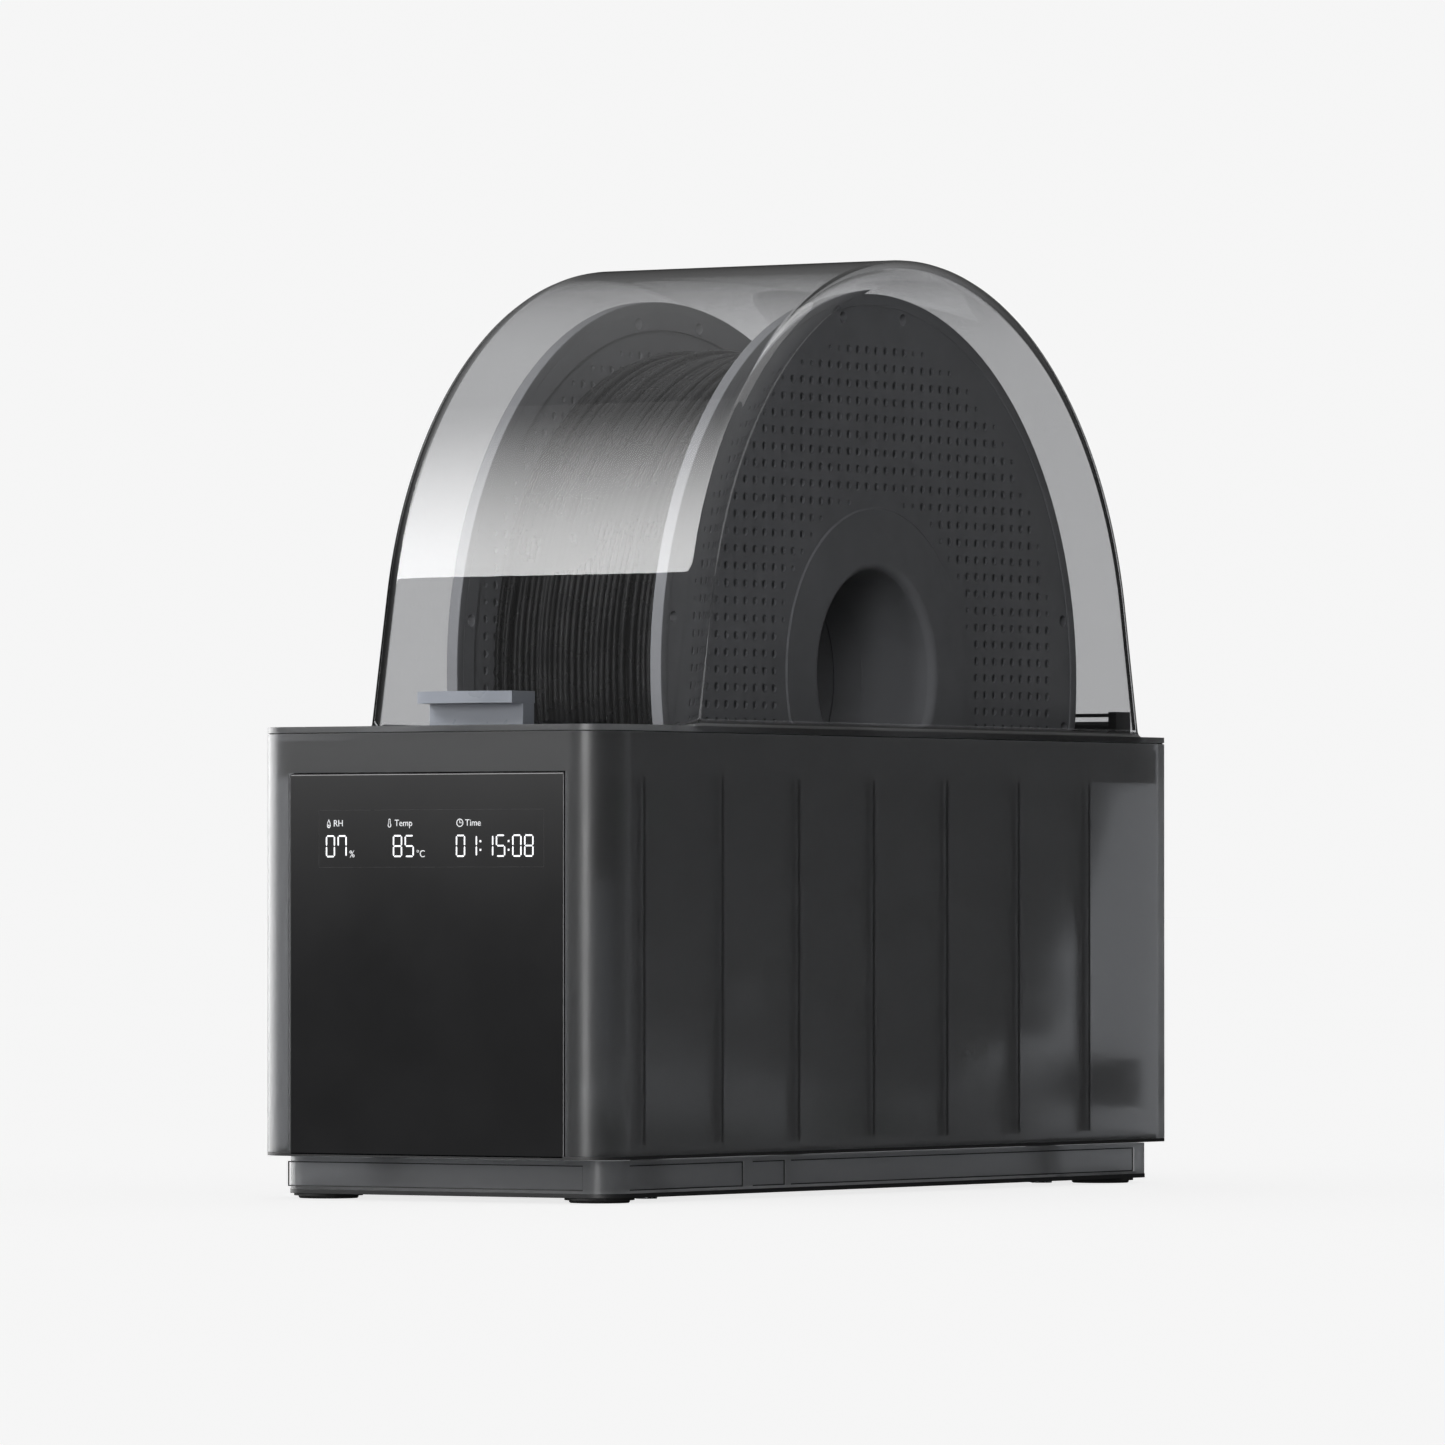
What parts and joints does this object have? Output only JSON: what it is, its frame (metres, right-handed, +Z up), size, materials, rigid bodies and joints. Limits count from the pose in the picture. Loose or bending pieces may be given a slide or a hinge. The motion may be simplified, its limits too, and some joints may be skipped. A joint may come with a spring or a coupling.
{
  "type": "filament dryer box",
  "caption": "Heated dryer box for a filament spool: translucent ribbed body on a plinth, clear hinged dome lid with a release tab, and a front display.",
  "frame": {"origin": "on the floor, under the middle of the overall box", "axes": "+Z up, the display faces -Y, the spool's axis is along X"},
  "size_m": [0.11, 0.2786, 0.2438],
  "materials": {
    "smoked_shell": "satin translucent",
    "clear_smoke": "clear smoke-tinted polycarbonate",
    "gloss_black": "gloss",
    "dark_plastic": "satin",
    "spool_plastic": "fine matt texture",
    "filament": "satin strands",
    "rubber": "matt",
    "steel": "bright",
    "grey_metal": "satin grey",
    "board": "coated board",
    "foam": "foam",
    "pale_plastic": "satin"
  },
  "bodies": {
    "box": {"outer_shell": "smoked_shell", "plinth": "smoked_shell", "front_panel": "gloss_black", "display_module": "gloss_black", "front_carrier": "dark_plastic", "base_plate": "dark_plastic", "chamber_tub": "dark_plastic", "deck_frame": "dark_plastic", "hinge_bracket": "dark_plastic", "feeder_housing": "dark_plastic", "power_inlet": "dark_plastic", "data_port": "dark_plastic", "vent_grille": "dark_plastic", "guide_bracket": "dark_plastic", "fan_housing": "dark_plastic", "display_board": "board", "control_board": "board", "humidity_sensor": "board", "plinth_screw_1": "steel", "plinth_screw_2": "steel", "plinth_screw_3": "steel", "plinth_screw_4": "steel", "catch_plate": "steel", "hinge_pin": "steel", "drive_motor": "steel", "heater_core": "steel", "foot_front_left": "rubber", "foot_front_right": "rubber", "foot_rear_left": "rubber", "foot_rear_right": "rubber", "deck_gasket": "rubber", "drive_belt": "rubber", "insulation_left": "foam", "insulation_right": "foam", "drive_bush_left": "pale_plastic", "drive_bush_right": "pale_plastic", "idle_bush_left": "pale_plastic", "idle_bush_right": "pale_plastic", "outlet_fitting": "pale_plastic"},
    "lid": {"lid_dome": "clear_smoke", "tab_spring": "steel"},
    "tab": {"release_tab": "grey_metal"},
    "spool": {"spool_half_left": "spool_plastic", "spool_half_right": "spool_plastic", "filament_winding": "filament"},
    "drive_roller": {"drive_shaft": "steel", "drive_tyre_left": "rubber", "drive_tyre_right": "rubber", "roller_pulley": "pale_plastic"},
    "idle_roller": {"idle_shaft": "steel", "idle_tyre_left": "rubber", "idle_tyre_right": "rubber"},
    "motor_pulley": {"motor_pulley": "pale_plastic"},
    "fan": {"fan_rotor": "dark_plastic"},
    "flap": {"vent_flap": "dark_plastic"},
    "feed_drive": {"feed_drive_wheel": "steel"},
    "feed_idler": {"feed_idler_wheel": "steel"},
    "collet": {"outlet_collet": "dark_plastic"},
    "guide_roller": {"guide_roller": "dark_plastic"}
  },
  "joints": [
    {"name": "lid_hinge", "type": "hinge", "parent": "box", "child": "lid", "pos_m": [0, 0.13365, 0.1193], "axis": [-1, 0, 0], "range_deg": [0, 85]},
    {"name": "tab_slide", "type": "slide", "parent": "lid", "child": "tab", "axis": [0, 1, 0], "range_m": [0, 0.0022], "stiffness_N_per_m": 400, "springref_m": -0.002},
    {"name": "spool_spin", "type": "hinge", "parent": "box", "child": "spool", "pos_m": [0, 0.01825, 0.1354], "axis": [1, 0, 0], "continuous": true},
    {"name": "drive_roller_spin", "type": "hinge", "parent": "box", "child": "drive_roller", "pos_m": [0, 0.08851, 0.05167], "axis": [1, 0, 0], "continuous": true},
    {"name": "idle_roller_spin", "type": "hinge", "parent": "box", "child": "idle_roller", "pos_m": [0, -0.05201, 0.05167], "axis": [1, 0, 0], "continuous": true},
    {"name": "motor_pulley_spin", "type": "hinge", "parent": "box", "child": "motor_pulley", "pos_m": [0, 0.11365, 0.0255], "axis": [1, 0, 0], "continuous": true},
    {"name": "fan_spin", "type": "hinge", "parent": "box", "child": "fan", "pos_m": [0, -0.11835, 0.06], "axis": [0, 1, 0], "continuous": true},
    {"name": "vent_flap_swing", "type": "hinge", "parent": "box", "child": "flap", "pos_m": [0, 0.12725, 0.0886], "axis": [-1, 0, 0], "range_deg": [0, 70]},
    {"name": "feed_drive_spin", "type": "hinge", "parent": "box", "child": "feed_drive", "pos_m": [0, 0.11465, 0.0201], "axis": [1, 0, 0], "continuous": true},
    {"name": "feed_idler_spin", "type": "hinge", "parent": "box", "child": "feed_idler", "pos_m": [0, 0.11465, 0.0299], "axis": [1, 0, 0], "continuous": true},
    {"name": "collet_slide", "type": "slide", "parent": "box", "child": "collet", "axis": [0, -1, 0], "range_m": [0, 0.001], "stiffness_N_per_m": 500, "springref_m": -0.001},
    {"name": "guide_roller_spin", "type": "hinge", "parent": "box", "child": "guide_roller", "pos_m": [0, 0.12025, 0.1226], "axis": [1, 0, 0], "continuous": true}
  ],
  "couplings": [
    {"joint": "drive_roller_spin", "follows": "spool_spin", "ratio": -11.111},
    {"joint": "idle_roller_spin", "follows": "spool_spin", "ratio": -11.111},
    {"joint": "motor_pulley_spin", "follows": "spool_spin", "ratio": -17.778},
    {"joint": "feed_idler_spin", "follows": "feed_drive_spin", "ratio": -1}
  ]
}
